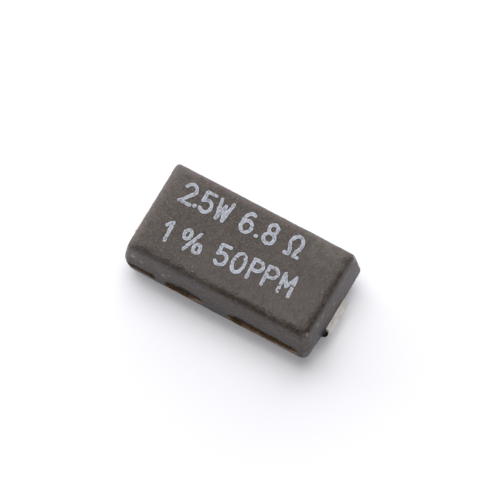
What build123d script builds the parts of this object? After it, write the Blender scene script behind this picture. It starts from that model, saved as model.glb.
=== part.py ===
from build123d import *
import os
from math import pi, radians, tan

# Moulded surface-mount wirewound resistor, in millimetres.
# +X runs along the body, +Y across it and +Z up. The origin is on the solder plane, under the body's middle.

# Moulding: two drafted halves that meet at the parting line, its widest level
body_length = 11.8
body_width = 6.3
body_top = 4.1
body_underside = 0.25
parting_height = 1.6
upper_draft_angle = 7.5
lower_draft_angle = 17.5
top_face_corner_radius = 0.45
shoulder_corner_radius = 0.25
parting_corner_radius = 0.35
worn_corner_radius = 0.6
underside_corner_radius = 0.45
top_bevel = 0.27
bottom_bevel = 0.25
bevel_edge_radius = 0.1

# Front of the parting line: lips of flash left standing, and chips where the edge broke off with the flash.
# Each is (start, end) as a share of the body's length, from its left end. A chip also has its depth.
flash_reach = 0.05
flash_thickness = 0.06
flash_root = 0.3
flash_lips = [(0.29, 0.56), (0.64, 0.76), (0.86, 0.97)]
chips = [(-0.03, 0.17, 0.3), (0.21, 0.44, 0.22), (0.54, 0.95, 0.22)]
chip_deepest_at = 0.3
chip_height = 0.42
chip_run_out = 0.1

# Ribbon-wound element, on an axis along X
element_height = 2.15
core_radius = 1.25
core_length = 8.2
core_chamfer = 0.1
cap_wall = 0.2
cap_length = 0.9
cap_chamfer = 0.12
resistance_ohm = 6.8
alloy_resistivity = 1.33e-3
ribbon_width = 0.4
ribbon_thickness = 0.05
seating_gap = 0.005

# Terminals: one folded strap each
strap_thickness = 0.2
strap_width = 2.05
tab_height = 1.3
tab_bend_radius = 0.2
leg_reach = 0.29
leg_bend_radius = 0.27
foot_bend_radius = 0.45
foot_end = 3.5
relief_width = 0.3
relief_height = 0.55
relief_drop = 0.4

# Worked out from the above
cap_radius = core_radius + cap_wall
cap_end = core_length / 2 + cap_wall
cap_rim = cap_end - cap_length
winding_radius = core_radius + seating_gap + ribbon_thickness / 2
ribbon_length = resistance_ohm * ribbon_width * ribbon_thickness / alloy_resistivity
turns = ribbon_length / (2 * pi * winding_radius)
winding_span = 2 * cap_rim - ribbon_width
wall_width = body_width - flash_reach
wall_offset = flash_reach / 2
front_wall = wall_offset - wall_width / 2
shoulder_height = body_top - top_bevel
lower_bevel_height = body_underside + bottom_bevel


def draft_inset(height):
    """How far a wall stands in from the parting line at this height."""
    angle = upper_draft_angle if height > parting_height else lower_draft_angle
    return abs(height - parting_height) * tan(radians(angle))


def level_section(height, inset, back_radius, front_radius):
    """Rounded rectangle of the moulding at one level."""
    section = Rectangle(body_length - 2 * inset, wall_width - 2 * inset)
    section = fillet(section.vertices().group_by(Axis.Y)[0], front_radius)
    section = fillet(section.vertices().group_by(Axis.Y)[-1], back_radius)
    return Pos(0, wall_offset, height) * section


def drafted_block():
    """Solid form of the moulding: both drafted halves, with bevels round the top face and the underside."""
    bottom_inset = draft_inset(lower_bevel_height)
    shoulder_inset = draft_inset(shoulder_height)
    levels = [
        (body_underside, bottom_inset + bottom_bevel, underside_corner_radius, underside_corner_radius),
        (lower_bevel_height, bottom_inset, underside_corner_radius, underside_corner_radius),
        (parting_height, 0, parting_corner_radius, worn_corner_radius),
        (shoulder_height, shoulder_inset, shoulder_corner_radius, shoulder_corner_radius),
        (body_top, shoulder_inset + top_bevel, top_face_corner_radius, top_face_corner_radius),
    ]
    block = loft([level_section(*level) for level in levels], ruled=True)
    top_rim = block.faces().sort_by(Axis.Z)[-1].edges()
    return fillet(top_rim, bevel_edge_radius)


def along_front(share):
    """X of a point on the front edge, from its share of the body's length."""
    return (share - 0.5) * body_length


def chip(start, end, depth):
    """Splinter that broke off the parting edge: widest near its start, with a point at each end."""
    widest = along_front(start + (end - start) * chip_deepest_at)
    outside = front_wall - chip_run_out
    section = Polyline(
        (widest, outside, parting_height + chip_height),
        (widest, front_wall + depth / 2, parting_height + chip_height),
        (widest, front_wall + depth, parting_height),
        (widest, outside, parting_height),
        close=True,
    )
    tips = [Vertex(along_front(share), front_wall, parting_height) for share in (start, end)]
    return loft([tips[0], make_face(section), tips[1]], ruled=True)


def flash_lip(start, end):
    """Thin fin of flash that stands out of the front of the parting line."""
    left, right = along_front(start), along_front(end)
    root = front_wall + flash_root
    rim = ThreePointArc((left, front_wall), ((left + right) / 2, -body_width / 2), (right, front_wall))
    sides = Polyline(rim @ 1, (right, root), (left, root), rim @ 0)
    fin = extrude(make_face([rim, sides]), flash_thickness)
    return Pos(0, 0, parting_height - flash_thickness) * fin


def on_element_axis(shape):
    """Turns a shape modelled along Z on to the element's own axis, along X."""
    return Pos(0, 0, element_height) * Rot(0, 90, 0) * shape


def ceramic_core():
    rod = Cylinder(core_radius, core_length)
    return on_element_axis(chamfer(rod.edges().filter_by(GeomType.CIRCLE), core_chamfer))


def resistance_winding():
    """One layer of resistance ribbon wound on edge to edge of the caps, as long as its resistance needs."""
    path = Helix(pitch=winding_span / turns, height=winding_span, radius=winding_radius)
    start = Plane(origin=path @ 0, x_dir=(1, 0, 0), z_dir=path % 0)
    ribbon = sweep(start * Rectangle(ribbon_thickness, ribbon_width), path=path, is_frenet=True)
    return on_element_axis(Pos(0, 0, -winding_span / 2) * ribbon)


def end_cap_right():
    """Pressed cup on the core's right end."""
    cup = Cylinder(cap_radius, cap_length)
    cup = chamfer(cup.edges().filter_by(GeomType.CIRCLE).sort_by(Axis.Z)[-1], cap_chamfer)
    cup -= Pos(0, 0, -cap_wall) * Cylinder(core_radius, cap_length)
    return on_element_axis(Pos(0, 0, cap_end - cap_length / 2) * cup)


def terminal_right():
    """Tinned strap: a tab on the cap, a run out at the parting line, a leg and a foot curled under."""
    half = strap_thickness / 2
    leg_top = body_length / 2 + leg_reach
    leg_bottom = leg_top - draft_inset(half)
    corners = [
        (cap_end + half, 0, parting_height + tab_height),
        (cap_end + half, 0, parting_height),
        (leg_top, 0, parting_height),
        (leg_bottom, 0, half),
        (foot_end, 0, half),
    ]
    path = FilletPolyline(*corners, radius=[tab_bend_radius, leg_bend_radius, foot_bend_radius])
    start = Plane(origin=path @ 0, x_dir=(1, 0, 0), z_dir=path % 0)
    strap = sweep(start * Rectangle(strap_thickness, strap_width), path=path)
    hole = extrude(Plane.YZ * SlotOverall(relief_height, relief_width, rotation=90), leg_reach * 2)
    return strap - Pos(body_length / 2, 0, parting_height - relief_drop) * hole


def mirrored(shape):
    """The same piece at the left end."""
    return mirror(shape, about=Plane.YZ)


def moulded_body(sealed_pieces):
    """Compound moulded round the caps and terminals, with plain bores over the winding and the core."""
    body = drafted_block()
    for start, end, depth in chips:
        body -= chip(start, end, depth)
    for start, end in flash_lips:
        body += flash_lip(start, end)
    bore = Cylinder(winding_radius + ribbon_thickness / 2 + seating_gap, 2 * cap_rim)
    bore += Cylinder(core_radius, core_length)
    body -= on_element_axis(bore)
    for piece in sealed_pieces:
        body -= piece
    return body


core = ceramic_core()
winding = resistance_winding()
cap_right = end_cap_right()
cap_left = mirrored(cap_right)
strap_right = terminal_right()
strap_left = mirrored(strap_right)
body = moulded_body([cap_right, cap_left, strap_right, strap_left])

os.makedirs("parts", exist_ok=True)
export_step(body, "parts/moulded_body.step")
export_step(core, "parts/ceramic_core.step")
export_step(winding, "parts/resistance_winding.step")
export_step(cap_left, "parts/end_cap_left.step")
export_step(cap_right, "parts/end_cap_right.step")
export_step(strap_left, "parts/terminal_left.step")
export_step(strap_right, "parts/terminal_right.step")
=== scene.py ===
from math import cos, radians, sin

import bpy
import numpy as np
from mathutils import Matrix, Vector, noise
from mathutils.bvhtree import BVHTree


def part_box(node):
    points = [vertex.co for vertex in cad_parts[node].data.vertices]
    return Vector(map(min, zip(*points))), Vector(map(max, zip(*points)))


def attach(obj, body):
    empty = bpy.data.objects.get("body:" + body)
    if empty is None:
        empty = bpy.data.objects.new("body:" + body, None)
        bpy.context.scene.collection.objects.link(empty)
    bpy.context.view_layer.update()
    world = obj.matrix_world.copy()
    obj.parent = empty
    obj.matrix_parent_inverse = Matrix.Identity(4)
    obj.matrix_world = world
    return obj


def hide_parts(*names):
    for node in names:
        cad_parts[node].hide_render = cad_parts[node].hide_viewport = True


# A moulded surface-mount wirewound resistor. Shapes are worked out in millimetres and written in metres.
# +X runs along the body, +Y across it towards the back and +Z up.
MM = 0.001

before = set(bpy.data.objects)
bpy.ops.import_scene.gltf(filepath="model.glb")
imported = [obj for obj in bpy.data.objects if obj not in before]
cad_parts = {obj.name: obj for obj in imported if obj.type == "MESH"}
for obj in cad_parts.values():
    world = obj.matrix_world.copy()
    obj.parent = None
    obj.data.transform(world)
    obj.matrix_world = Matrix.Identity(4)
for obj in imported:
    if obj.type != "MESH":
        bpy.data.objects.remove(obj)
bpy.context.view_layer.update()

# Moulding: two drafted halves that meet at the parting line
body_low, body_high = (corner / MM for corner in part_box("moulded_body"))
FLASH_REACH = 0.05
PARTING_HEIGHT = 1.6
UPPER_DRAFT = 7.5
LOWER_DRAFT = 17.5
BOTTOM_BEVEL = 0.25
# The top edge rolls over: tilt of the surface in degrees at distances along it from the flat of the top.
# The front and right edges keep a crisp shoulder, and the back and left ones are rubbed round.
CRISP_ROLL = [(0, 0), (0.19, 4), (0.41, 21), (0.57, 48), (0.7, 62), (0.92, 76), (1.12, 82.5)]
RUBBED_ROLL = [(0, 0), (0.14, 8), (0.4, 26), (0.6, 48), (0.76, 70), (0.86, 82.5), (1.14, 82.5)]
ROLL_STEPS = 30
# The lumps and the ink need this much room under the top of the solid.
SKIN_ROOM = 0.03
HALF_LENGTH = body_high.x
HALF_WIDTH = (body_high.y - body_low.y - FLASH_REACH) / 2
WIDTH_MIDDLE = body_high.y - HALF_WIDTH
FRONT_WALL = WIDTH_MIDDLE - HALF_WIDTH
TOP_HEIGHT = body_high.z - SKIN_ROOM
UNDERSIDE_HEIGHT = body_low.z
LOWER_BEVEL_HEIGHT = UNDERSIDE_HEIGHT + BOTTOM_BEVEL

# Corner radii at each level, at the back, the front left and the front right, as each is worn
TOP_CORNERS = (0.45, 0.45, 0.6)
SHOULDER_CORNERS = (0.25, 0.25, 0.5)
PARTING_CORNERS = (0.35, 0.6, 0.3)
UNDERSIDE_CORNERS = (0.45, 0.45, 0.45)

# Mesh: cells along the length and the width, cells round a corner, and the spacing of the rows up the
# walls, which is finer up to BREAK_REACH above the parting line
CELLS_ALONG = 184
CELLS_ACROSS = 96
CORNER_CELLS = 8
WALL_SPACING = 0.09
EDGE_SPACING = 0.03
BREAK_REACH = 0.95

# Breaks along the front of the parting line: a wedge of the upper half is gone, down to a ledge on the
# lower half. Each station is (share of the length from the left end, height of the ledge, top of the wedge,
# depth), with both heights above the parting line.
BREAKS = [
    [(0.01, 0.0, 0.3, 0.1), (0.04, 0.0, 0.5, 0.15), (0.12, 0.0, 0.56, 0.17), (0.168, 0.03, 0.54, 0.16),
     (0.182, 0.12, 0.46, 0.1), (0.188, 0.2, 0.4, 0.0)],
    [(0.236, 0.24, 0.5, 0.0), (0.244, 0.14, 0.6, 0.13), (0.28, 0.08, 0.7, 0.17), (0.32, 0.08, 0.8, 0.2),
     (0.36, 0.1, 0.84, 0.19), (0.376, 0.3, 0.74, 0.15), (0.42, 0.44, 0.64, 0.12), (0.445, 0.5, 0.58, 0.0)],
    [(0.56, 0.42, 0.52, 0.0), (0.585, 0.3, 0.62, 0.1), (0.612, 0.1, 0.76, 0.2), (0.645, 0.08, 0.8, 0.2),
     (0.665, 0.2, 0.7, 0.17), (0.707, 0.26, 0.7, 0.16), (0.771, 0.16, 0.66, 0.15), (0.844, 0.2, 0.66, 0.15),
     (0.9, 0.26, 0.62, 0.14), (0.935, 0.36, 0.54, 0.08), (0.95, 0.4, 0.48, 0.0)],
]
# The breaks are full depth this close to the front wall, and fade out by this far in from it.
BREAK_FADES_FROM = 0.35
BREAK_INNER_END = 0.65
LEDGE_ROUND = 0.05
BREAK_RAGGEDNESS = 0.09
BREAK_HOLLOWNESS = 0.8
AMBER_REACH = 0.16
STAIN_REACH = 0.3

# Near-black stub beside the right terminal, a dark lump that stands in for the shade in the gap at the
# strap's loop:
# its middle and its half size across and up the wall, and its reach
STUB_MIDDLE = (-1.24, 1.52)
STUB_HALF = (0.25, 0.16)
STUB_REACH = 0.24

# Chalky scuffs: middle and reach of each
SCUFFS = [
    ((5.58, -2.44, 3.72), 0.17), ((5.66, -1.62, 3.3), 0.16), ((5.66, -1.06, 3.35), 0.17),
    ((5.72, 0.2, 2.75), 0.16), ((5.5, 2.72, 3.6), 0.36), ((-5.2, -2.9, 3.1), 0.22),
    ((-4.6, -3.0, 2.9), 0.16), ((-3.2, -3.0, 2.7), 0.2), ((-2.9, -3.0, 3.0), 0.14),
    ((4.6, -3.0, 3.0), 0.08), ((1.4, -3.05, 2.3), 0.09), ((2.3, -3.05, 2.35), 0.08),
    ((3.1, -3.05, 2.2), 0.07),
]

# Front of the parting line, at shares of its length: how far its left end is rubbed back, and how far the
# thin flash along its middle stands out. The right of the parting line is rubbed back too, at distances
# from its front corner. Each kind of rubbing fades out at its spread above and below the line, and the
# flash is FLASH_DROP below it.
RUBBED_END = [(0, 0.09), (0.12, 0.08), (0.19, 0.01), (0.25, 0)]
RUBBED_RIGHT = [(0, 0.17), (0.4, 0.14), (0.9, 0.08), (1.8, 0)]
FLASH = [
    (0.3, 0), (0.39, 0.05), (0.45, 0.035), (0.55, 0.03),
    (0.6, 0.035), (0.67, 0.05), (0.72, 0.045), (0.74, 0),
]
FLASH_HALF_THICKNESS = 0.07
FLASH_DROP = 0.02
FLASH_INNER_END = 0.7
RUBBED_END_SPREAD = 0.6
RUBBED_RIGHT_SPREAD = 0.7

# Depths of the surface's lumps, of its finer grit, of the extra grit in the breaks, and of worn places
LUMP_DEPTH = 0.01
GRIT_DEPTH = 0.005
BREAK_GRIT_DEPTH = 0.012
WEAR_DEPTH = 0.006
WEAR_UNEVENNESS = 0.012

# A seed for each use of noise
SEEDS = {
    "lumps": 1, "grit": 2, "breaks": 3, "wear": 4, "flash": 6, "scuffs": 7,
    "top_row": 5, "bottom_row": 9, "dents": 11,
}

# Marking: generic ratings in two rows of rounded strokes. Each row has its middle, its turn in degrees and
# its glyphs, with the place of each along the row. Starved ink is the thin ink in the middle of a stroke.
GLYPH_WIDTH = 0.64
GLYPH_HEIGHT = 1.16
STROKE_WIDTH = 0.2
ARC_STEP = 12
INK_THICKNESS = 0.012
INK_CELL = 0.032
RAY_START = 10
INK_RAGGEDNESS = 0.024
INK_WAVINESS = 0.012
INK_WEAR = 0.03
STARVED_WEAR = 0.06
# Ink is fully starved up to the first distance from a stroke's middle line, in shares of the stroke's
# width, and not at all from the second.
STARVED_FULL = 0.1
STARVED_END = 0.32
TOP_ROW = {
    "middle": (-0.76, 1.53),
    "turn": 1.4,
    "glyphs": [
        ("2", -4.08), (".", -3.5), ("5", -2.95), ("W", -1.95),
        ("6", -0.43), (".", 0.3), ("8", 1.0), ("ohm", 2.5),
    ],
}
BOTTOM_ROW = {
    "middle": (-0.4, -0.8),
    "turn": 3.3,
    "glyphs": [
        ("1", -4.0), ("%", -2.55), ("5", -0.73), ("0", 0.28), ("P", 1.3), ("P", 2.2), ("M", 3.2),
    ],
}

# Straps, with the sizes of the solids: centre line of the right one in X and Z, and the radius of each
# bend. The bend relief is a rounded slot where the strap passes RELIEF_HEIGHT, beyond RELIEF_BEYOND in X.
STRAP_THICKNESS = 0.2
STRAP_WIDTH = 2.05
TAB_X = 4.4
TAB_TOP = 2.9
LEG_TOP_X = 6.19
LEG_BOTTOM_X = 5.717
FOOT_END_X = 3.5
STRAP_LINE = [
    (TAB_X, TAB_TOP),
    (TAB_X, PARTING_HEIGHT),
    (LEG_TOP_X, PARTING_HEIGHT),
    (LEG_BOTTOM_X, STRAP_THICKNESS / 2),
    (FOOT_END_X, STRAP_THICKNESS / 2),
]
STRAP_BENDS = [0.2, 0.27, 0.45]
STRAP_CORNER = 0.12
STRAP_EDGE_ROUND = 0.045
STRAP_CELL = 0.035
STRAP_DENT_DEPTH = 0.016
BEND_STEPS = 12
RELIEF_BEYOND = 5
RELIEF_HEIGHT = 1.17
RELIEF_HALF_RUN = 0.125
RELIEF_HALF_WIDTH = 0.15
SOLE_CLEARANCE = 0.005

# Camera and light. Distances and the softbox's size are in metres, the picture's width and offset in
# millimetres, the angles in degrees.
TABLE_REACH = 0.6
CAMERA_DISTANCE = 0.3
CAMERA_NEAREST = 0.01
CAMERA_ELEVATION = 68.85
CAMERA_AZIMUTH = 29.34
PICTURE_WIDTH = 27.32
PICTURE_OFFSET = (0.481, -0.039)
SENSOR_WIDTH = 36
SOFTBOX_DISTANCE = 0.4
SOFTBOX_SIZE = 0.3
SOFTBOX_TILT = 12
SOFTBOX_AZIMUTH = 220
SOFTBOX_POWER = 1.48
BACKDROP_AZIMUTH = 230
BACKDROP_LEVEL = 1.6
FILL_LEVEL = 0.04
BACKDROP_EDGE = (0.2, 0.8)
FLOOR_LIFT = 0.23

# Colours of the compound: its mottle, what lies on it, painted light and shade, its fillers, and its breaks
COMPOUND_DARK = (0.0215, 0.012, 0.007)
COMPOUND_PALE = (0.051, 0.036, 0.029)
CLOUD = (0.061, 0.045, 0.037)
SPECK = (0.14, 0.118, 0.106)
# Dust and painted light, paler towards the back left
DUST_AND_PAINTED_LIGHT = (0.103, 0.086, 0.076)
# Painted sheen on the back and left rims
PAINTED_RIM_SHEEN = (0.113, 0.095, 0.085)
WALL_TINT = (0.07, 0.03, 0.029)
WALL_STREAK = (0.116, 0.082, 0.078)
WALL_DUST = (0.155, 0.118, 0.111)
# Painted shade at the foot of the walls
PAINTED_FOOT_SHADE = (0.013, 0.008, 0.007)
FILLER = (0.27, 0.24, 0.21)
WORN = (0.2, 0.165, 0.15)
CHALK = (0.42, 0.38, 0.36)
STAIN = (0.02, 0.012, 0.0095)
# Fracture colours, partly the fracture's own dark grain and partly painted shade in the recess
FRACTURE_PAINTED_SHADE_DARK = (0.009, 0.0034, 0.0015)
FRACTURE_PAINTED_SHADE_PALE = (0.048, 0.024, 0.01)
AMBER_DARK = (0.1, 0.047, 0.013)
AMBER_PALE = (0.21, 0.12, 0.043)
# Painted shade of the stub beside the right strap
STUB_PAINTED_SHADE = (0.008, 0.0025, 0.001)

# Colours of the other finishes
TIN_DULL = (0.77, 0.71, 0.655)
TIN_BRIGHT = (0.88, 0.85, 0.81)
INK_FULL = (0.46, 0.485, 0.555)
INK_THIN = (0.13, 0.13, 0.14)
CERAMIC_DARK = (0.72, 0.7, 0.64)
CERAMIC_PALE = (0.85, 0.83, 0.78)
ALLOY_DARK = (0.4, 0.38, 0.35)
ALLOY_PALE = (0.6, 0.58, 0.55)
CAP_DARK = (0.5, 0.49, 0.46)
CAP_PALE = (0.7, 0.69, 0.66)
TABLE = (0.955, 0.955, 0.985)
TABLE_GLOW = (0.955, 0.955, 1)
ROOM_LIGHT = (0.975, 0.975, 1)
WHITE = (1, 1, 1)


class Signal:
    """A socket in arithmetic: each operator adds one Math node."""

    def __init__(self, graph, socket):
        self.graph = graph
        self.socket = socket

    def combine(self, operation, first, second):
        return self.graph.node("ShaderNodeMath", {"operation": operation}, {0: first, 1: second})["Value"]

    def __add__(self, other):
        return self.combine("ADD", self, other)

    def __radd__(self, other):
        return self.combine("ADD", other, self)

    def __sub__(self, other):
        return self.combine("SUBTRACT", self, other)

    def __rsub__(self, other):
        return self.combine("SUBTRACT", other, self)

    def __mul__(self, other):
        return self.combine("MULTIPLY", self, other)

    def __rmul__(self, other):
        return self.combine("MULTIPLY", other, self)


class Graph:
    """A node tree, built node by node."""

    def __init__(self, tree):
        self.tree = tree

    def feed(self, socket, value):
        """Links a signal to a socket, or gives the socket a constant."""
        if isinstance(value, Signal):
            self.tree.links.new(value.socket, socket)
        elif socket.type == "RGBA" and len(value) == 3:
            socket.default_value = (*value, 1)
        else:
            socket.default_value = value

    def node(self, kind, settings, values):
        """Adds a node: its settings first, then its sockets. Returns its outputs as signals."""
        node = self.tree.nodes.new(kind)
        for name, value in settings.items():
            setattr(node, name, value)
        for socket, value in values.items():
            self.feed(node.inputs[socket], value)
        by_identifier = {out.identifier: Signal(self, out) for out in node.outputs}
        by_name = {out.name: Signal(self, out) for out in node.outputs if out.enabled}
        return by_identifier | by_name

    def step(self, signal, low, high):
        """Soft step from 0 below low to 1 above high."""
        values = {"Value": signal, "From Min": low, "From Max": high}
        return self.node("ShaderNodeMapRange", {"interpolation_type": "SMOOTHSTEP"}, values)["Result"]

    def blend(self, share, first, second):
        """Mix of two colours."""
        values = {"Factor": share, 6: first, 7: second}
        return self.node("ShaderNodeMix", {"data_type": "RGBA"}, values)["Result_Color"]


class Finish(Graph):
    """A material and its surface shader."""

    def __init__(self, name, constants):
        self.material = bpy.data.materials.new(name)
        self.material.use_nodes = True
        super().__init__(self.material.node_tree)
        self.shader = self.tree.nodes["Principled BSDF"]
        for socket, value in constants.items():
            self.paint(socket, value)

    def place(self):
        return self.node("ShaderNodeTexCoord", {}, {})["Object"]

    def coordinates(self):
        """Place on the piece along X, Y and Z, in millimetres."""
        parts = self.node("ShaderNodeSeparateXYZ", {}, {"Vector": self.place()})
        return [parts[axis] * (1 / MM) for axis in "XYZ"]

    def grain(self, size, detail=2.0, roughness=0.5, distortion=0.0, stretch=(1, 1, 1)):
        """Noise whose features are about this many millimetres across, from 0 to 1."""
        factors = {0: self.place(), 1: stretch}
        stretched = self.node("ShaderNodeVectorMath", {"operation": "MULTIPLY"}, factors)
        values = {
            "Vector": stretched["Vector"],
            "Scale": 1 / (size * MM),
            "Detail": detail,
            "Roughness": roughness,
            "Distortion": distortion,
        }
        return self.node("ShaderNodeTexNoise", {}, values)["Fac"]

    def mask(self, name):
        return self.node("ShaderNodeAttribute", {"attribute_name": name}, {})["Fac"]

    def relief(self, height, depth):
        """Bump of this many millimetres."""
        values = {"Height": height, "Distance": depth * MM, "Strength": 1.0}
        normal = self.node("ShaderNodeBump", {}, values)["Normal"]
        self.feed(self.shader.inputs["Normal"], normal)

    def paint(self, socket, value):
        self.feed(self.shader.inputs[socket], value)


def compound_finish():
    """Silica-filled moulding compound: matt, dark and mottled, with pale fillers and a rough fracture, and
    with painted light and shade in places.
    """
    finish = Finish("moulding_compound", {"Specular IOR Level": 0.41})
    along, across, height = finish.coordinates()
    # Paler towards the back left, partly dust and partly painted light falling off across the top; the
    # walls; painted shade at their foot; painted sheen on the back and left rims
    dust_and_light_falloff = finish.step(across * 1.6 - along, -5, 9)
    upright = finish.step(height * -1, -3.75, -3.6)
    painted_foot_shade = finish.step(height * -1, -3.15, -2.0)
    # Painted sheen: paler along the left and back rims, and over the back left and back right of the top
    painted_rim_sheen = finish.step(along * -1, 4.1, 5.5) * 0.4 + finish.step(across, 1.7, 2.9) * 0.34
    painted_rim_sheen = painted_rim_sheen + finish.step(along * -1, 2.4, 4.9) * finish.step(across, -0.6, 1.6) * 0.45
    painted_rim_sheen = painted_rim_sheen + finish.step(along, 2.2, 3.6) * finish.step(across, 0.6, 2.2) * 0.35
    # Mottle in four sizes
    clouds = finish.step(finish.grain(2.2, detail=2, roughness=0.5), 0.35, 0.65)
    mottle = finish.step(finish.grain(0.4, detail=3, roughness=0.6), 0.35, 0.65)
    streaks = finish.step(finish.grain(0.3, detail=3, roughness=0.6, stretch=(0.2, 0.2, 1)), 0.35, 0.65)
    fine = finish.step(finish.grain(0.12, detail=3, roughness=0.6), 0.3, 0.7)
    base = finish.blend(mottle, COMPOUND_DARK, COMPOUND_PALE)
    base = finish.blend(clouds * 0.3, base, CLOUD)
    base = finish.blend(fine * fine * (0.2 + dust_and_light_falloff * 0.55), base, SPECK)
    base = finish.blend(dust_and_light_falloff * 0.24, base, DUST_AND_PAINTED_LIGHT)
    base = finish.blend(painted_rim_sheen * (0.5 + mottle * 0.9), base, PAINTED_RIM_SHEEN)
    patches = finish.step(finish.grain(0.8, detail=2), 0.4, 0.6)
    base = finish.blend(upright * 0.3, base, WALL_TINT)
    base = finish.blend(upright * streaks * 0.22, base, WALL_STREAK)
    left_wall = upright * finish.step(along * -1, 1, 4.5)
    base = finish.blend(left_wall * (0.15 + patches * 0.3), base, WALL_DUST)
    # Painted shade: the walls darken towards their foot
    base = finish.blend(painted_foot_shade * 0.6, base, PAINTED_FOOT_SHADE)
    # Pale filler grains, in groups
    cells = finish.node("ShaderNodeTexVoronoi", {}, {"Vector": finish.place(), "Scale": 1 / (0.36 * MM)})
    grains = 1 - finish.step(cells["Distance"] + finish.grain(0.2, detail=1) * 0.3, 0.19, 0.3)
    chosen = finish.step(finish.grain(0.7, detail=0), 0.48, 0.58)
    base = finish.blend(grains * chosen * 0.4, base, FILLER)
    base = finish.blend(finish.mask("worn") * (0.1 + fine * 0.45), base, WORN)
    base = finish.blend(finish.mask("chalk") * (0.2 + fine * 0.6), base, CHALK)
    base = finish.blend(finish.mask("stain") * (0.3 + mottle * 0.4), base, STAIN)
    # The breaks are coloured near black: partly their dark fracture, partly painted shade in the recess
    fracture_and_painted_shade = finish.mask("fracture_and_painted_shade")
    base = finish.blend(fracture_and_painted_shade * 0.95, base, finish.blend(fine, FRACTURE_PAINTED_SHADE_DARK, FRACTURE_PAINTED_SHADE_PALE))
    amber = finish.mask("ledge") * (0.5 + mottle * 0.5)
    base = finish.blend(amber, base, finish.blend(fine, AMBER_DARK, AMBER_PALE))
    # Painted shade: the stub is near black, with metal to drop its sheen, standing in for the shade at the
    # strap's loop
    stub_painted_shade = finish.step(finish.mask("stub"), 0.15, 0.6)
    finish.paint("Base Color", finish.blend(stub_painted_shade, base, STUB_PAINTED_SHADE))
    finish.paint("Metallic", stub_painted_shade * 0.8)
    finish.paint("Roughness", 0.36 + mottle * 0.06 + fine * 0.08 + fracture_and_painted_shade * 0.4)
    finish.relief(fine * (0.33 + dust_and_light_falloff * 0.55) + mottle * 0.4, 0.04)
    return finish.material


def tin_finish():
    """Dull, rough tin plate on the straps, uneven where it was dipped and folded."""
    finish = Finish("tin_plate", {"Specular IOR Level": 0.25})
    smear = finish.step(finish.grain(0.45, detail=3), 0.35, 0.65)
    pits = finish.grain(0.09, detail=3)
    finish.paint("Base Color", finish.blend(smear, TIN_DULL, TIN_BRIGHT))
    finish.paint("Metallic", 0.25 + smear * 0.25)
    finish.paint("Roughness", 0.6 + pits * 0.2)
    finish.relief(pits * 0.5 + smear * 0.5, 0.02)
    return finish.material


def ink_finish():
    """Thin pale ink, patchy where the grain of the compound shows through."""
    finish = Finish("marking_ink", {"Roughness": 0.6})
    patches = finish.grain(0.13, detail=3, roughness=0.6)
    thin = finish.mask("thin") * 0.35 + finish.step(patches, 0.4, 0.7) * 0.6
    finish.paint("Base Color", finish.blend(thin, INK_FULL, INK_THIN))
    finish.relief(patches, 0.01)
    return finish.material


def ceramic_finish():
    """Unglazed ceramic of the core."""
    finish = Finish("core_ceramic", {"Roughness": 0.75})
    grain = finish.grain(0.12, detail=3)
    finish.paint("Base Color", finish.blend(grain, CERAMIC_DARK, CERAMIC_PALE))
    finish.relief(grain, 0.008)
    return finish.material


def drawn_metal_finish(name, dark, light, streak):
    """Rolled or pressed metal with fine marks from its tools."""
    finish = Finish(name, {"Metallic": 1})
    marks = finish.grain(streak, detail=3, distortion=0.6)
    finish.paint("Base Color", finish.blend(marks, dark, light))
    finish.paint("Roughness", 0.3 + marks * 0.15)
    finish.relief(marks, 0.004)
    return finish.material


def floor_finish():
    """Plain pale table top, seen as paper white away from the shadow."""
    finish = Finish("table_top", {"Roughness": 0.9, "Specular IOR Level": 0})
    finish.paint("Base Color", TABLE)
    path = finish.node("ShaderNodeLightPath", {}, {})
    seen = path["Is Camera Ray"] + path["Is Glossy Ray"] + path["Is Transmission Ray"]
    white = finish.node("ShaderNodeEmission", {}, {"Color": TABLE_GLOW, "Strength": 1.0})["Emission"]
    surface = finish.node("ShaderNodeMixShader", {}, {
        0: seen * FLOOR_LIFT,
        1: Signal(finish, finish.shader.outputs["BSDF"]),
        2: white,
    })["Shader"]
    finish.feed(finish.tree.nodes["Material Output"].inputs["Surface"], surface)
    return finish.material


def mesh_piece(name, points, faces, material, masks=None):
    """Makes a smooth piece from points in millimetres, with a value for each point in each mask."""
    mesh = bpy.data.meshes.new(name)
    mesh.from_pydata((np.asarray(points) * MM).tolist(), [], faces)
    for mask, values in (masks or {}).items():
        attribute = mesh.attributes.new(mask, "FLOAT", "POINT")
        attribute.data.foreach_set("value", np.asarray(values, np.float32))
    mesh.materials.append(material)
    mesh.polygons.foreach_set("use_smooth", [True] * len(mesh.polygons))
    mesh.update()
    piece = bpy.data.objects.new(name, mesh)
    bpy.context.scene.collection.objects.link(piece)
    return piece


def roughness_at(points, size, seed, octaves=3):
    """Fractal noise for each point, about -1 to 1, with features this many millimetres across."""
    shift = Vector((seed * 17.3, seed * 5.1, seed * 9.7))
    return np.array([noise.fractal(Vector(point) / size + shift, 1.0, 2.0, octaves) for point in points])


def smooth_step(values, low, high):
    """Soft step from 0 at low to 1 at high."""
    share = np.clip((values - low) / (high - low), 0, 1)
    return share * share * (3 - 2 * share)


def wall_inset(height):
    """How far a drafted wall stands in from the parting line."""
    draft = UPPER_DRAFT if height > PARTING_HEIGHT else LOWER_DRAFT
    return abs(height - PARTING_HEIGHT) * np.tan(radians(draft))


def roll_curve(stations):
    """Points of a rolled edge, from the wall up to the flat: distance in from the wall, and height."""
    along = np.linspace(stations[-1][0], 0, ROLL_STEPS + 1)
    tilt = np.radians(np.interp(along, *np.array(stations).T))
    middle_tilt = (tilt[1:] + tilt[:-1]) / 2
    step = along[0] / ROLL_STEPS
    inward = np.concatenate([[0], np.cumsum(np.cos(middle_tilt) * step)])
    upward = np.concatenate([[0], np.cumsum(np.sin(middle_tilt) * step)])
    return inward, upward


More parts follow.
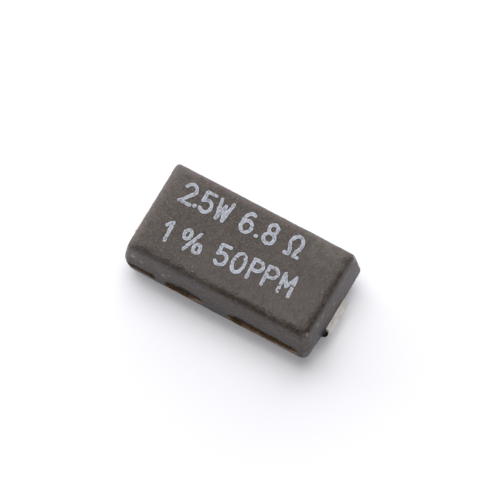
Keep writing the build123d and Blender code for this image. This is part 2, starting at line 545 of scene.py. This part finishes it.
def body_levels():
    """Rows up the moulding: inset of the front and right, of the back and left, height and corner radii."""
    crisp_in, crisp_up = roll_curve(CRISP_ROLL)
    rubbed_in, rubbed_up = roll_curve(RUBBED_ROLL)
    size = crisp_up[-1] / rubbed_up[-1]
    rubbed_in = np.interp(crisp_up, rubbed_up * size, rubbed_in * size)
    shoulder_height = TOP_HEIGHT - crisp_up[-1]
    break_height = PARTING_HEIGHT + BREAK_REACH
    break_share = BREAK_REACH / (shoulder_height - PARTING_HEIGHT)
    shoulder, top = np.array(SHOULDER_CORNERS), np.array(TOP_CORNERS)
    break_corners = np.array(PARTING_CORNERS) * (1 - break_share) + shoulder * break_share
    stops = [
        (wall_inset(LOWER_BEVEL_HEIGHT) + BOTTOM_BEVEL, UNDERSIDE_HEIGHT, UNDERSIDE_CORNERS, WALL_SPACING),
        (wall_inset(LOWER_BEVEL_HEIGHT), LOWER_BEVEL_HEIGHT, UNDERSIDE_CORNERS, WALL_SPACING),
        (0, PARTING_HEIGHT, PARTING_CORNERS, EDGE_SPACING),
        (wall_inset(break_height), break_height, break_corners, WALL_SPACING),
        (wall_inset(shoulder_height), shoulder_height, SHOULDER_CORNERS, None),
    ]
    rows = []
    for stop, next_stop in zip(stops, stops[1:]):
        inset, height, corners, spacing = stop
        next_inset, next_height, next_corners, _ = next_stop
        start = np.array((inset, inset, height, *corners))
        run = np.array((next_inset, next_inset, next_height, *next_corners)) - start
        steps = max(2, round(np.hypot(run[0], run[2]) / spacing))
        rows += [start + run * step / steps for step in range(steps)]
    for crisp, rubbed, up in zip(crisp_in, rubbed_in, crisp_up):
        corners = shoulder + (top - shoulder) * crisp / crisp_in[-1]
        inset = wall_inset(shoulder_height)
        rows.append(np.array((inset + crisp, inset + rubbed, shoulder_height + up, *corners)))
    return np.array(rows)


def level_point(column, line, level):
    """A grid point of one level: square cells, bent round the four corners."""
    front_inset, back_inset, height, back_radius, left_radius, right_radius = level
    straight_x = np.clip((column - CORNER_CELLS) / (CELLS_ALONG - 2 * CORNER_CELLS), 0, 1) * 2 - 1
    straight_y = np.clip((line - CORNER_CELLS) / (CELLS_ACROSS - 2 * CORNER_CELLS), 0, 1) * 2 - 1
    corner_x = np.clip((np.abs(column - CELLS_ALONG / 2) - CELLS_ALONG / 2) / CORNER_CELLS + 1, 0, 1)
    corner_y = np.clip((np.abs(line - CELLS_ACROSS / 2) - CELLS_ACROSS / 2) / CORNER_CELLS + 1, 0, 1)
    front_radius = left_radius + (right_radius - left_radius) * (straight_x + 1) / 2
    radius = front_radius + (back_radius - front_radius) * (straight_y + 1) / 2
    inset_x = back_inset + (front_inset - back_inset) * (straight_x + 1) / 2
    inset_y = front_inset + (back_inset - front_inset) * (straight_y + 1) / 2
    bend_x = np.sign(straight_x) * corner_x * np.sqrt(1 - corner_y ** 2 / 2)
    bend_y = np.sign(straight_y) * corner_y * np.sqrt(1 - corner_x ** 2 / 2)
    x = straight_x * (HALF_LENGTH - inset_x - radius) + radius * bend_x
    y = straight_y * (HALF_WIDTH - inset_y - radius) + radius * bend_y + WIDTH_MIDDLE
    return np.stack([x, y, np.full_like(x, height)], -1)


def perimeter_cells():
    """Grid places round the rim of a level, in order."""
    along = [(column, 0) for column in range(CELLS_ALONG)]
    right = [(CELLS_ALONG, line) for line in range(CELLS_ACROSS)]
    back = [(column, CELLS_ACROSS) for column in range(CELLS_ALONG, 0, -1)]
    left = [(0, line) for line in range(CELLS_ACROSS, 0, -1)]
    return along + right + back + left


def face_grid(rim_indices, first_inner):
    """Point numbers of a whole level: its rim's are given, and the inner ones follow first_inner."""
    numbers = np.zeros((CELLS_ALONG + 1, CELLS_ACROSS + 1), int)
    inner = np.arange((CELLS_ALONG - 1) * (CELLS_ACROSS - 1)).reshape(CELLS_ALONG - 1, CELLS_ACROSS - 1)
    numbers[1:-1, 1:-1] = inner + first_inner
    for (column, line), number in zip(perimeter_cells(), rim_indices):
        numbers[column, line] = number
    return numbers


def quads(numbers):
    """Faces between neighbours of a grid of point numbers."""
    corners = [numbers[:-1, :-1], numbers[1:, :-1], numbers[1:, 1:], numbers[:-1, 1:]]
    return np.stack([corner.ravel() for corner in corners], -1)


def plain_block():
    """Points and faces of the undamaged moulding."""
    levels = body_levels()
    rim = np.array(perimeter_cells(), float)
    rows = [level_point(rim[:, 0], rim[:, 1], level) for level in levels]
    count = len(rim)
    inner = [(column, line) for column in range(1, CELLS_ALONG) for line in range(1, CELLS_ACROSS)]
    inner = np.array(inner, float)
    underside = level_point(inner[:, 0], inner[:, 1], levels[0])
    top = level_point(inner[:, 0], inner[:, 1], levels[-1])
    points = np.concatenate(rows + [underside, top])
    wall_numbers = np.arange(count * len(rows)).reshape(len(rows), count)
    wall_numbers = np.concatenate([wall_numbers, wall_numbers[:, :1]], 1)
    first_underside = count * len(rows)
    first_top = first_underside + len(underside)
    underside_numbers = face_grid(wall_numbers[0, :-1], first_underside)
    top_numbers = face_grid(wall_numbers[-1, :-1], first_top)
    faces = [quads(wall_numbers.T), quads(underside_numbers)[:, ::-1], quads(top_numbers)]
    return points, np.concatenate(faces)


def surface_normals(points, faces):
    """Unit normal at each point, from the faces round it."""
    corners = points[faces]
    face_normals = np.cross(corners[:, 2] - corners[:, 0], corners[:, 3] - corners[:, 1])
    normals = np.zeros_like(points)
    for corner in range(4):
        np.add.at(normals, faces[:, corner], face_normals)
    return normals / np.linalg.norm(normals, axis=1, keepdims=True)


def front_breaks(points):
    """Depth of the breaks at each point, and its share of the fracture with its painted shade, of the ledge
    and of the stain.
    """
    share = points[:, 0] / (2 * HALF_LENGTH) + 0.5
    height = points[:, 2] - PARTING_HEIGHT
    ragged = roughness_at(points * (1, 0, 0.3), 0.2, SEEDS["breaks"]) * BREAK_RAGGEDNESS
    depth, fracture_and_painted_shade, ledge, stain = np.zeros((4, len(points)))
    for stations in BREAKS:
        places, lows, highs, depths = np.array(stations).T
        low = np.interp(share, places, lows) + ragged * 0.5
        high = np.interp(share, places, highs) + ragged * 1.5
        reach = np.interp(share, places, depths, left=0, right=0)
        slope = np.clip((high - height) / (high - low), 0, 1) ** BREAK_HOLLOWNESS
        here = reach * slope * smooth_step(height, low - LEDGE_ROUND, low)
        within = smooth_step(reach, 0, 0.06)
        depth = np.maximum(depth, here)
        # Bare fracture, darkened with painted shade, above the ledge, amber flash on the ledge and just
        # above it, stain above the wedge
        broken = smooth_step(here, 0.015, 0.08) * smooth_step(height, low - 0.02, low + 0.02)
        fracture_and_painted_shade = np.maximum(fracture_and_painted_shade, broken)
        ledge = np.maximum(ledge, within * smooth_step(-height, -low - AMBER_REACH - ragged, -low + 0.02))
        stain = np.maximum(stain, within * smooth_step(-height, -high - STAIN_REACH, -high))
    front = smooth_step(-points[:, 1], -FRONT_WALL - BREAK_INNER_END, -FRONT_WALL - BREAK_FADES_FROM)
    ledge *= smooth_step(height, -0.22, -0.06)
    stain *= height > 0
    return depth * front, fracture_and_painted_shade * front, ledge * front, stain * front


def parting_line_shift(points):
    """How far the front of the parting line stands out with flash, or in where its left end is rubbed."""
    share = points[:, 0] / (2 * HALF_LENGTH) + 0.5
    height = points[:, 2] - PARTING_HEIGHT
    front = points[:, 1] < FRONT_WALL + FLASH_INNER_END
    feathered = 0.7 + 0.5 * roughness_at(points * (1, 0, 0), 0.45, SEEDS["flash"])
    flash = np.interp(share, *np.array(FLASH).T) * np.clip(feathered, 0.2, 1.1)
    flash *= np.clip(1 - np.abs(height + FLASH_DROP) / FLASH_HALF_THICKNESS, 0, 1)
    beside = smooth_step(-np.abs(height), -RUBBED_END_SPREAD, 0)
    rubbed = np.interp(share, *np.array(RUBBED_END).T) * beside
    return (flash - rubbed) * front


def rubbed_right(points):
    """How far the right of the parting line is rubbed back by its front corner."""
    from_corner = points[:, 1] - WIDTH_MIDDLE + HALF_WIDTH
    height = points[:, 2] - PARTING_HEIGHT
    right = smooth_step(points[:, 0], HALF_LENGTH - 0.6, HALF_LENGTH - 0.3)
    beside = smooth_step(-np.abs(height), -RUBBED_RIGHT_SPREAD, 0)
    return np.interp(from_corner, *np.array(RUBBED_RIGHT).T) * beside * right


def edge_wear(points, normals):
    """Where handling has rubbed the moulding pale: corners, shoulders, back and left rims, right wall."""
    tilt = normals[:, 2]
    above = points[:, 2] > PARTING_HEIGHT + 1
    on_shoulder = smooth_step(-np.abs(tilt - 0.35), -0.3, -0.1) * above
    across = np.minimum(np.abs(normals[:, 0]), np.abs(normals[:, 1]))
    on_corner = smooth_step(across, 0.25, 0.5)
    on_rim = smooth_step(points[:, 2], TOP_HEIGHT - 0.8, TOP_HEIGHT - 0.4)
    rubbed = smooth_step(np.maximum(-normals[:, 0], normals[:, 1] * 0.8), 0.05, 0.6) * on_rim
    low_right = smooth_step(normals[:, 0], 0.8, 0.95) * smooth_step(-points[:, 2], -3.1, -2.0)
    low_right *= smooth_step(points[:, 1], -1.2, 0.6)
    on_roll = smooth_step(-np.abs(tilt - 0.77), -0.27, -0.05) * above
    return np.maximum.reduce([on_corner, on_shoulder * 0.4, on_roll * 0.25, rubbed, low_right * 0.8])


def scuffs(points):
    """Chalky marks at the given places, broken up by the grain."""
    chalk = np.zeros(len(points))
    for middle, reach in SCUFFS:
        near = np.flatnonzero(np.linalg.norm(points - middle, axis=1) < 2 * reach)
        distance = np.linalg.norm(points[near] - middle, axis=1) / reach
        broken = distance + 0.9 * roughness_at(points[near], 0.17, SEEDS["scuffs"])
        chalk[near] = np.maximum(chalk[near], smooth_step(-broken, -1.0, -0.3))
    return chalk


def shade_stub(points):
    """Share of the stub's reach at each point of the right wall."""
    across = (points[:, 1] - STUB_MIDDLE[0]) / STUB_HALF[0]
    up = (points[:, 2] - STUB_MIDDLE[1]) / STUB_HALF[1]
    outward = points[:, 0] > HALF_LENGTH - 0.5
    return smooth_step(-np.hypot(across, up), -1, -0.45) * outward


def moulding():
    """The body: the plain block with a broken front edge and the grain of its surface."""
    points, faces = plain_block()
    depth, fracture_and_painted_shade, ledge, stain = front_breaks(points)
    normals = surface_normals(points, faces)
    worn = edge_wear(points, normals)
    grit_depth = GRIT_DEPTH + BREAK_GRIT_DEPTH * fracture_and_painted_shade
    lumps = roughness_at(points, 1.1, SEEDS["lumps"]) * LUMP_DEPTH
    lumps = lumps + roughness_at(points, 0.22, SEEDS["grit"]) * grit_depth
    wear = worn * (WEAR_DEPTH + WEAR_UNEVENNESS * roughness_at(points, 0.3, SEEDS["wear"]))
    shift = parting_line_shift(points)
    stub = shade_stub(points)
    masks = {
        "worn": worn,
        "fracture_and_painted_shade": fracture_and_painted_shade,
        "stub": stub,
        "ledge": ledge,
        "stain": stain,
        "chalk": scuffs(points),
    }
    points = points + normals * (lumps - wear)[:, None]
    points[:, 0] -= rubbed_right(points)
    points[:, 1] += depth - shift
    points = np.clip(points, body_low, body_high)
    points[:, 0] += stub * STUB_REACH
    surface = BVHTree.FromPolygons(points.tolist(), faces.tolist())
    return mesh_piece("moulding", points, faces.tolist(), compound_finish(), masks), surface


def arc(middle_x, middle_y, reach_x, reach_y, start, end):
    """Points along an elliptical arc, in shares of a glyph's width and height."""
    turns = np.radians(np.linspace(start, end, 3 + int(abs(end - start) / ARC_STEP)))
    return [(middle_x + reach_x * cos(turn), middle_y + reach_y * sin(turn)) for turn in turns]


# Strokes of each glyph, from -0.5 to 0.5 across its width and up its height
GLYPHS = {
    "0": [arc(0, 0, 0.5, 0.5, 0, 360)],
    "1": [[(-0.35, 0.25), (0.05, 0.5), (0.05, -0.5)]],
    "2": [arc(0, 0.22, 0.48, 0.28, 165, -25) + [(-0.5, -0.5), (0.5, -0.5)]],
    "5": [[(0.42, 0.5), (-0.38, 0.5), (-0.42, 0.02)] + arc(0, -0.19, 0.5, 0.31, 130, -145)],
    "6": [arc(0.05, 0, 0.53, 0.5, 62, 180) + arc(0, -0.2, 0.48, 0.3, 180, -180)],
    "8": [arc(0, 0.26, 0.38, 0.24, 0, 360), arc(0, -0.24, 0.48, 0.26, 0, 360)],
    ".": [[(0, -0.44), (0.04, -0.4)]],
    "%": [
        arc(-0.62, 0.24, 0.3, 0.24, 0, 360),
        arc(0.62, -0.24, 0.3, 0.24, 0, 360),
        [(-0.42, -0.5), (0.42, 0.5)],
    ],
    "W": [[(-0.56, 0.5), (-0.3, -0.5), (0, 0.25), (0.3, -0.5), (0.56, 0.5)]],
    "P": [
        [(-0.45, -0.5), (-0.45, 0.5), (0.05, 0.5)]
        + arc(0.05, 0.24, 0.42, 0.26, 90, -90)
        + [(-0.45, -0.02)],
    ],
    "M": [[(-0.52, -0.5), (-0.52, 0.5), (0, -0.1), (0.52, 0.5), (0.52, -0.5)]],
    "ohm": [
        [(-0.62, -0.5), (-0.25, -0.5)]
        + arc(0, 0.1, 0.52, 0.42, 238, -58)
        + [(0.25, -0.5), (0.62, -0.5)],
    ],
}


def stroke_distance(points, strokes):
    """Distance of each point from the nearest stroke."""
    nearest = np.full(len(points), np.inf)
    for stroke in strokes:
        for start, end in zip(stroke, stroke[1:]):
            start, run = np.array(start), np.subtract(end, start)
            share = np.clip((points - start) @ run / (run @ run), 0, 1)
            nearest = np.minimum(nearest, np.linalg.norm(points - start - share[:, None] * run, axis=1))
    return nearest


def inked_cells(cover):
    """Polygons over the part of a grid of cover values that is above 0, and the places of their corners."""
    places, numbers, polygons = [], {}, []

    def number(key, place):
        if key not in numbers:
            numbers[key] = len(places)
            places.append(place)
        return numbers[key]

    rows, columns = cover.shape
    for row in range(rows - 1):
        for column in range(columns - 1):
            corners = [(row, column), (row, column + 1), (row + 1, column + 1), (row + 1, column)]
            if max(cover[corner] for corner in corners) <= 0:
                continue
            polygon = []
            for here, there in zip(corners, corners[1:] + corners[:1]):
                if cover[here] > 0:
                    polygon.append(number(here, here))
                if (cover[here] > 0) != (cover[there] > 0):
                    share = cover[here] / (cover[here] - cover[there])
                    place = tuple(np.add(here, share * np.subtract(there, here)))
                    polygon.append(number(tuple(sorted((here, there))), place))
            polygons.append(polygon)
    return np.array(places), polygons


def print_row(row, seed):
    """One row of the marking, flat: points, polygons and how thin the ink is at each point."""
    turn = radians(row["turn"])
    all_points, all_polygons, all_thin = [], [], []
    for glyph, place in row["glyphs"]:
        strokes = [np.array(stroke) * (GLYPH_WIDTH, GLYPH_HEIGHT) for stroke in GLYPHS[glyph]]
        half = np.array((GLYPH_WIDTH * 0.95, GLYPH_HEIGHT * 0.5)) + STROKE_WIDTH
        sides = [np.arange(-reach, reach, INK_CELL) for reach in half]
        grid = np.stack(np.meshgrid(*sides, indexing="xy"), -1).reshape(-1, 2)
        distance = stroke_distance(grid, strokes)
        spread = np.column_stack([grid + place, np.zeros(len(grid))])
        ragged = roughness_at(spread, 0.14, seed, 2) * INK_RAGGEDNESS
        ragged = ragged + roughness_at(spread, 0.5, seed + 1, 2) * INK_WAVINESS
        wear = smooth_step(roughness_at(spread, 0.13, seed + 2, 3), 0.3, 0.5)
        starved = smooth_step(-distance, -STROKE_WIDTH * STARVED_END, -STROKE_WIDTH * STARVED_FULL)
        cover = STROKE_WIDTH / 2 - distance + ragged - wear * (INK_WEAR + STARVED_WEAR * starved)
        cells, polygons = inked_cells(cover.reshape(len(sides[1]), len(sides[0])))
        flat = np.column_stack([cells[:, 1] * INK_CELL - half[0] + place, cells[:, 0] * INK_CELL - half[1]])
        flat -= (row["middle"][0], 0)
        turned = flat @ np.array([[cos(turn), sin(turn)], [-sin(turn), cos(turn)]]) + row["middle"]
        start = sum(len(points) for points in all_points)
        all_points.append(turned)
        all_polygons += [[corner + start for corner in polygon] for polygon in polygons]
        starved = starved.reshape(len(sides[1]), len(sides[0]))
        nearest = np.round(cells).astype(int).clip(0, np.subtract(starved.shape, 1))
        all_thin.append(starved[nearest[:, 0], nearest[:, 1]])
    return np.concatenate(all_points), all_polygons, np.concatenate(all_thin)


def open_edges(polygons):
    """Edges that only one polygon uses, in its direction."""
    edges = {}
    for polygon in polygons:
        for start, end in zip(polygon, polygon[1:] + polygon[:1]):
            if (end, start) in edges:
                del edges[(end, start)]
            else:
                edges[(start, end)] = True
    return list(edges)


def marking(surface):
    """The printed ratings: a film of ink that follows the top face, with its edge turned down to it."""
    rows = [print_row(TOP_ROW, SEEDS["top_row"]), print_row(BOTTOM_ROW, SEEDS["bottom_row"])]
    flat = np.concatenate([points for points, _, _ in rows])
    thin = np.concatenate([share for _, _, share in rows])
    first = len(rows[0][0])
    polygons = rows[0][1] + [[corner + first for corner in polygon] for polygon in rows[1][1]]
    under = [surface.ray_cast(Vector((x, y, RAY_START)), Vector((0, 0, -1)))[0] for x, y in flat]
    face = np.array([(*point, hit.z) for point, hit in zip(flat, under)])
    film = np.minimum(face + (0, 0, INK_THICKNESS), (np.inf, np.inf, body_high.z))
    count = len(film)
    skirt = [(end, start, start + count, end + count) for start, end in open_edges(polygons)]
    points = np.concatenate([film, face - (0, 0, INK_THICKNESS)])
    masks = {"thin": np.concatenate([thin, thin])}
    return mesh_piece("marking", points, polygons + skirt, ink_finish(), masks)


def bent_line(corners, radii):
    """Evenly spaced points along a line with rounded bends, and the normal to the left at each."""
    corners = np.array(corners)
    points = [corners[0]]
    for before, corner, after, radius in zip(corners, corners[1:], corners[2:], radii):
        back = (before - corner) / np.linalg.norm(before - corner)
        on = (after - corner) / np.linalg.norm(after - corner)
        half_angle = np.arccos(np.clip(back @ on, -1, 1)) / 2
        middle = corner + (back + on) / np.linalg.norm(back + on) * radius / np.sin(half_angle)
        start, end = (corner + way * radius / np.tan(half_angle) - middle for way in (back, on))
        for share in np.linspace(0, 1, BEND_STEPS + 1):
            spoke = start * (1 - share) + end * share
            points.append(middle + spoke / np.linalg.norm(spoke) * radius)
    points = np.array([*points, corners[-1]])
    reached = np.concatenate([[0], np.cumsum(np.linalg.norm(np.diff(points, axis=0), axis=1))])
    steps = np.arange(0, reached[-1], STRAP_CELL)
    line = np.stack([np.interp(steps, reached, points[:, axis]) for axis in (0, 1)], -1)
    run = np.gradient(line, axis=0)
    normals = np.stack([-run[:, 1], run[:, 0]], -1)
    return line, normals / np.linalg.norm(normals, axis=1, keepdims=True)


def strap_cover(line):
    """Distance in from the nearest edge of the strap or of its relief hole, over its length and width."""
    length = (len(line) - 1) * STRAP_CELL
    across = np.arange(-STRAP_WIDTH / 2 - STRAP_CELL, STRAP_WIDTH / 2 + 2 * STRAP_CELL, STRAP_CELL)
    along = np.arange(-1, len(line) + 1) * STRAP_CELL
    place, side = np.meshgrid(along, across, indexing="ij")
    out_along = np.abs(place - length / 2) - length / 2 + STRAP_CORNER
    out_across = np.abs(side) - STRAP_WIDTH / 2 + STRAP_CORNER
    outside = np.hypot(np.maximum(out_along, 0), np.maximum(out_across, 0))
    cover = STRAP_CORNER - outside - np.minimum(np.maximum(out_along, out_across), 0)
    outer = np.flatnonzero(line[:, 0] > RELIEF_BEYOND)
    hole = outer[np.argmin(np.abs(line[outer, 1] - RELIEF_HEIGHT))] * STRAP_CELL
    beyond = np.maximum(np.abs(place - hole) - RELIEF_HALF_RUN, 0)
    return np.minimum(cover, np.hypot(beyond, side) - RELIEF_HALF_WIDTH), across[0]


def strap(name, node, hand):
    """Folded strap of one end: a sheet with rounded edges, a relief hole and an uneven dipped surface."""
    line, normals = bent_line(STRAP_LINE, STRAP_BENDS)
    cover, first_across = strap_cover(line)
    cells, polygons = inked_cells(cover)
    place = np.clip(cells[:, 0] - 1, 0, len(line) - 1)
    side = cells[:, 1] * STRAP_CELL + first_across
    numbers = np.arange(len(line))
    centre = np.stack([np.interp(place, numbers, line[:, axis]) for axis in (0, 1)], -1)
    normal = np.stack([np.interp(place, numbers, normals[:, axis]) for axis in (0, 1)], -1)
    nearest = np.round(cells).astype(int)
    edge = np.where((cells == nearest).all(1), cover[nearest[:, 0], nearest[:, 1]], 0)
    short = STRAP_EDGE_ROUND - np.clip(edge, 0, STRAP_EDGE_ROUND)
    half = STRAP_THICKNESS / 2 - STRAP_EDGE_ROUND + np.sqrt(STRAP_EDGE_ROUND ** 2 - short ** 2)
    flat = np.column_stack([centre[:, 0] * hand, side, centre[:, 1]])
    out = np.column_stack([normal[:, 0] * hand, np.zeros(len(side)), normal[:, 1]])
    dents = STRAP_DENT_DEPTH * smooth_step(roughness_at(flat, 0.3, SEEDS["dents"]), -0.5, 0.5)
    faces = [flat + out * (sign * (half - dents))[:, None] for sign in (1, -1)]
    count = len(flat)
    turned = [polygon[::-1] for polygon in polygons]
    below = [[corner + count for corner in polygon] for polygon in polygons]
    skirt = [(end, start, start + count, end + count) for start, end in open_edges(turned)]
    sheets = turned + below + skirt
    if hand > 0:
        sheets = [list(polygon)[::-1] for polygon in sheets]
    low, high = (np.array(corner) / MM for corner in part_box(node))
    points = np.clip(np.concatenate(faces), low + (0, 0, SOLE_CLEARANCE), high)
    piece = mesh_piece(name, points, sheets, tin_finish())
    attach(piece, "root")
    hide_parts(node)


def build_stage():
    """Table top, softbox and dim surroundings."""
    corners = [(x * TABLE_REACH, y * TABLE_REACH, 0) for x, y in ((-1, -1), (1, -1), (1, 1), (-1, 1))]
    table = mesh_piece("table_top", np.array(corners) / MM, [(0, 1, 2, 3)], floor_finish())
    softbox = bpy.data.lights.new("softbox", "AREA")
    softbox.shape = "SQUARE"
    softbox.size = SOFTBOX_SIZE
    softbox.energy = SOFTBOX_POWER
    lamp = bpy.data.objects.new("softbox", softbox)
    lamp.visible_camera = False
    lamp.location = direction(SOFTBOX_AZIMUTH, 90 - SOFTBOX_TILT) * SOFTBOX_DISTANCE
    lamp.rotation_euler = lamp.location.to_track_quat("Z", "Y").to_euler()
    bpy.context.scene.collection.objects.link(lamp)
    bpy.context.scene.world = surroundings()
    bpy.context.scene.view_settings.view_transform = "Standard"


def surroundings():
    """A dim room with a pale backdrop on one side, white where the camera looks straight at it."""
    world = bpy.data.worlds.new("surroundings")
    world.use_nodes = True
    graph = Graph(world.node_tree)
    ray = graph.node("ShaderNodeTexCoord", {}, {})["Generated"]
    towards = direction(BACKDROP_AZIMUTH, 0)
    facing = graph.node("ShaderNodeVectorMath", {"operation": "DOT_PRODUCT"}, {0: ray, 1: towards})["Value"]
    level = FILL_LEVEL + graph.step(facing, *BACKDROP_EDGE) * (BACKDROP_LEVEL - FILL_LEVEL)
    path = graph.node("ShaderNodeLightPath", {}, {})
    seen = path["Is Camera Ray"]
    background = world.node_tree.nodes["Background"]
    graph.feed(background.inputs["Color"], graph.blend(seen, ROOM_LIGHT, WHITE))
    graph.feed(background.inputs["Strength"], seen + (1 - seen) * level)
    return world


def direction(azimuth, elevation):
    """Unit vector from the part towards a viewer. Azimuth 0 is in front of it and 90 at its right."""
    turn, rise = radians(azimuth), radians(elevation)
    return Vector((sin(turn) * cos(rise), -cos(turn) * cos(rise), sin(rise)))


def build_camera():
    """Camera over the part's front right corner, aimed a little beside the top face's centre."""
    lens = bpy.data.cameras.new("camera")
    lens.sensor_width = SENSOR_WIDTH
    lens.lens = SENSOR_WIDTH * CAMERA_DISTANCE / (PICTURE_WIDTH * MM)
    lens.clip_start = CAMERA_NEAREST
    camera = bpy.data.objects.new("camera", lens)
    back = direction(CAMERA_AZIMUTH, CAMERA_ELEVATION)
    turned = back.to_track_quat("Z", "Y")
    aside = turned @ Vector((*PICTURE_OFFSET, 0))
    camera.location = (Vector((0, 0, TOP_HEIGHT)) + aside) * MM + back * CAMERA_DISTANCE
    camera.rotation_euler = turned.to_euler()
    bpy.context.scene.collection.objects.link(camera)
    bpy.context.scene.camera = camera


build_stage()
build_camera()
body, body_surface = moulding()
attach(body, "root")
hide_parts("moulded_body")
ratings = marking(body_surface)
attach(ratings, "root")

strap("strap_left", "terminal_left", -1)
strap("strap_right", "terminal_right", 1)

CAD_FINISHES = {
    "ceramic_core": ceramic_finish(),
    "resistance_winding": drawn_metal_finish("resistance_alloy", ALLOY_DARK, ALLOY_PALE, 0.3),
    "end_cap_left": drawn_metal_finish("cap_plate", CAP_DARK, CAP_PALE, 0.2),
    "end_cap_right": drawn_metal_finish("cap_plate", CAP_DARK, CAP_PALE, 0.2),
}
for node, finish in CAD_FINISHES.items():
    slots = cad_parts[node].data.materials
    slots.clear()
    slots.append(finish)
